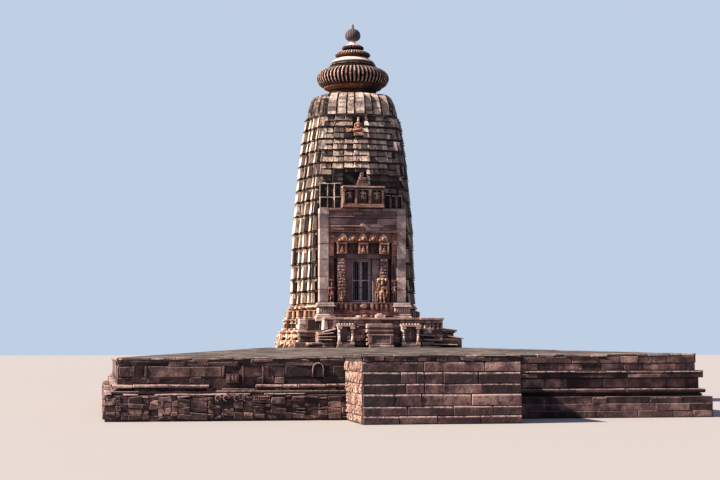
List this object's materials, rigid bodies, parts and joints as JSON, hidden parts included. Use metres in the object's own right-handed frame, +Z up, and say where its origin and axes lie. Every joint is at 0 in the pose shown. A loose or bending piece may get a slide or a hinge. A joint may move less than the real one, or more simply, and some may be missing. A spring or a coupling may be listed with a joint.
{
  "type": "hindu temple tower on a platform",
  "caption": "Free-standing stone temple: a curved tower with a ribbed crown over a small gated sanctum, on a broad moulded platform.",
  "frame": {"origin": "on the ground under the tower's axis", "axes": "+Z up, the door faces -Y, +X to the right of someone facing the door"},
  "size_m": [21.86, 26.225, 17.34],
  "materials": {
    "platform_stone": "weathered maroon sandstone blocks with pale worn edges",
    "paving_stone": "pale worn paving slabs",
    "tower_stone": "weathered buff sandstone with black staining",
    "doorway_stone": "carved reddish sandstone",
    "grey_stone": "grey buff sandstone",
    "crown_stone": "red brown sandstone, ribbed",
    "gate_iron": "dull painted iron"
  },
  "bodies": {
    "masonry": {"platform_footing": "platform_stone", "platform_torus": "platform_stone", "platform_recess": "platform_stone", "platform_cornice": "platform_stone", "platform_top_course": "platform_stone", "landing_courses": "platform_stone", "platform_paving": "paving_stone", "landing_paving": "paving_stone", "porch_floor": "paving_stone", "foot_lower_tier": "tower_stone", "foot_middle_tier": "tower_stone", "foot_upper_tier": "tower_stone", "sanctum_plinth": "tower_stone", "wall_left": "tower_stone", "wall_right": "tower_stone", "wall_back": "tower_stone", "shikhara_storey_1": "tower_stone", "shikhara_storey_2": "tower_stone", "shikhara_storey_3": "tower_stone", "shikhara_shoulder": "tower_stone", "front_pavilion": "tower_stone", "porch_core": "doorway_stone", "porch_steps": "doorway_stone", "niche_shrine_right": "doorway_stone", "porch_side_blocks": "doorway_stone", "front_wall_left": "doorway_stone", "front_wall_right": "doorway_stone", "wall_over_door": "doorway_stone", "door_jamb_left": "doorway_stone", "door_jamb_right": "doorway_stone", "door_lintel": "doorway_stone", "front_masonry": "doorway_stone", "door_threshold": "doorway_stone", "niche_shrine_left": "grey_stone", "pilaster_left": "grey_stone", "pilaster_right": "grey_stone", "finial_pot": "grey_stone", "seated_figure": "grey_stone", "tower_neck": "crown_stone", "large_amalaka": "crown_stone", "crown_discs": "crown_stone", "small_amalaka": "crown_stone", "gate_frame": "gate_iron"},
    "gate_left": {"gate_leaf_left": "gate_iron"},
    "gate_right": {"gate_leaf_right": "gate_iron"}
  },
  "joints": [
    {"name": "gate_left_hinge", "type": "hinge", "parent": "masonry", "child": "gate_left", "pos_m": [-0.3617, -2.11, 4.55], "axis": [0, 0, 1], "range_deg": [0, 90]},
    {"name": "gate_right_hinge", "type": "hinge", "parent": "masonry", "child": "gate_right", "pos_m": [0.3617, -2.11, 4.55], "axis": [0, 0, -1], "range_deg": [0, 90]}
  ]
}
